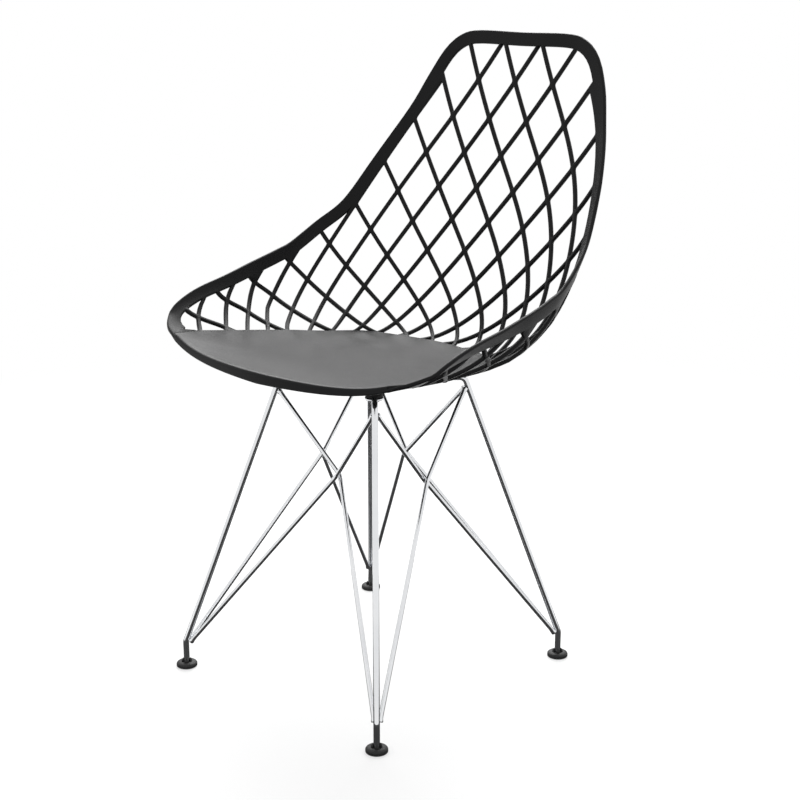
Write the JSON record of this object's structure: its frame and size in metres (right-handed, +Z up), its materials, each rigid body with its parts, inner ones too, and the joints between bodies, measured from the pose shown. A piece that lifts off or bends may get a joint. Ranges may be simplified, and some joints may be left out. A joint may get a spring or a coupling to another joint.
{
  "type": "dining chair",
  "caption": "Dining chair with a one-piece black lattice bucket shell, screwed through rubber pads to a crossed chrome wire base that stands on round black glides.",
  "frame": {"origin": "on the floor, in the middle of the chair's overall box", "axes": "+Z up; the chair faces -Y; +X is the sitter's left"},
  "size_m": [0.4892, 0.5094, 0.827],
  "materials": {
    "black_plastic": "satin moulded black",
    "chrome_wire": "bright plating",
    "glide_plastic": "matt black",
    "black_rubber": "matt black",
    "zinc_steel": "zinc plated",
    "black_steel": "black oxide",
    "brass": "bare brass"
  },
  "bodies": {
    "chair": {"shell": "black_plastic", "leg_front_right": "chrome_wire", "leg_front_left": "chrome_wire", "leg_back_left": "chrome_wire", "leg_back_right": "chrome_wire", "brace_front_outer": "chrome_wire", "brace_front_inner": "chrome_wire", "brace_left_outer": "chrome_wire", "brace_left_inner": "chrome_wire", "brace_back_outer": "chrome_wire", "brace_back_inner": "chrome_wire", "brace_right_outer": "chrome_wire", "brace_right_inner": "chrome_wire", "mount_plate_front_right": "chrome_wire", "mount_plate_front_left": "chrome_wire", "mount_plate_back_left": "chrome_wire", "mount_plate_back_right": "chrome_wire", "rubber_pad_front_right": "black_rubber", "rubber_pad_front_left": "black_rubber", "rubber_pad_back_left": "black_rubber", "rubber_pad_back_right": "black_rubber", "washer_front_right": "zinc_steel", "washer_front_left": "zinc_steel", "washer_back_left": "zinc_steel", "washer_back_right": "zinc_steel", "screw_front_right": "black_steel", "screw_front_left": "black_steel", "screw_back_left": "black_steel", "screw_back_right": "black_steel", "threaded_insert_front_right": "brass", "threaded_insert_front_left": "brass", "threaded_insert_back_left": "brass", "threaded_insert_back_right": "brass"},
    "foot_front_right": {"glide_front_right": "glide_plastic"},
    "foot_front_left": {"glide_front_left": "glide_plastic"},
    "foot_back_left": {"glide_back_left": "glide_plastic"},
    "foot_back_right": {"glide_back_right": "glide_plastic"}
  },
  "joints": [
    {"name": "glide_turn_front_right", "type": "hinge", "parent": "chair", "child": "foot_front_right", "pos_m": [-0.1765, -0.23327, 0], "axis": [0, 0, 1], "continuous": true},
    {"name": "glide_turn_front_left", "type": "hinge", "parent": "chair", "child": "foot_front_left", "pos_m": [0.1765, -0.23327, 0], "axis": [0, 0, 1], "continuous": true},
    {"name": "glide_turn_back_left", "type": "hinge", "parent": "chair", "child": "foot_back_left", "pos_m": [0.1765, 0.12973, 0], "axis": [0, 0, 1], "continuous": true},
    {"name": "glide_turn_back_right", "type": "hinge", "parent": "chair", "child": "foot_back_right", "pos_m": [-0.1765, 0.12973, 0], "axis": [0, 0, 1], "continuous": true}
  ]
}
